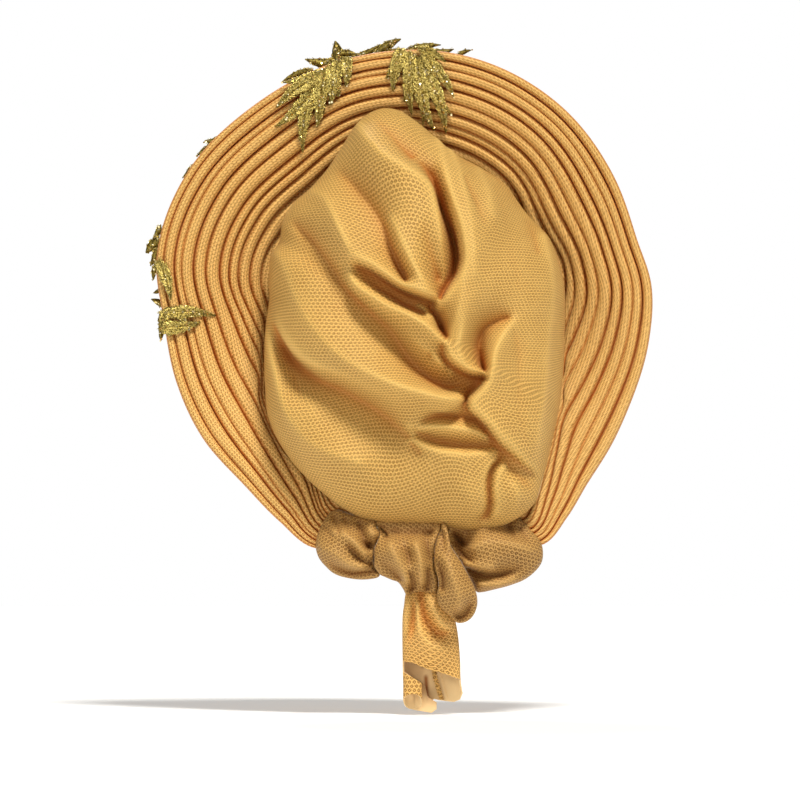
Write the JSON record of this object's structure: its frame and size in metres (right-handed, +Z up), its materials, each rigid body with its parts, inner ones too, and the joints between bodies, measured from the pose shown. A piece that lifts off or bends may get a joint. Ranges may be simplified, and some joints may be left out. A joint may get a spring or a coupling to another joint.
{
  "type": "tied gele head tie",
  "caption": "Ready-tied cloth head wrap with a fan of accordion pleats, a loose ruched crown bag, a knot and tail at the nape, and gold leaf lace.",
  "frame": {"origin": "the crown of the wearer's head, where the wrap sits", "axes": "+Z up, the wearer's face towards -Y, the bag, knot and tail towards +Y, the wearer's right hand side towards -X"},
  "size_m": [0.3242, 0.1999, 0.4251],
  "materials": {
    "pleat_cloth": "apricot gold jacquard with small gold figures, soft satin sheen",
    "bag_cloth": "apricot gold jacquard with small gold figures, soft satin sheen",
    "knot_cloth": "apricot gold jacquard, gathered and wound",
    "tail_cloth": "apricot gold jacquard with a plain paler inner face",
    "gold_lace": "metallic gold thread lace with sequins"
  },
  "bodies": {
    "root": {"pleated_brim": "pleat_cloth", "crown_bag": "bag_cloth", "knot_left_lobe": "knot_cloth", "knot_right_lobe": "knot_cloth", "knot_centre_wrap": "knot_cloth", "knot_loop": "knot_cloth", "tail": "tail_cloth", "lace_sprig_top_left": "gold_lace", "lace_sprig_top_right": "gold_lace", "lace_sprig_side": "gold_lace", "lace_garland_top": "gold_lace", "lace_garland_side": "gold_lace"}
  },
  "joints": []
}
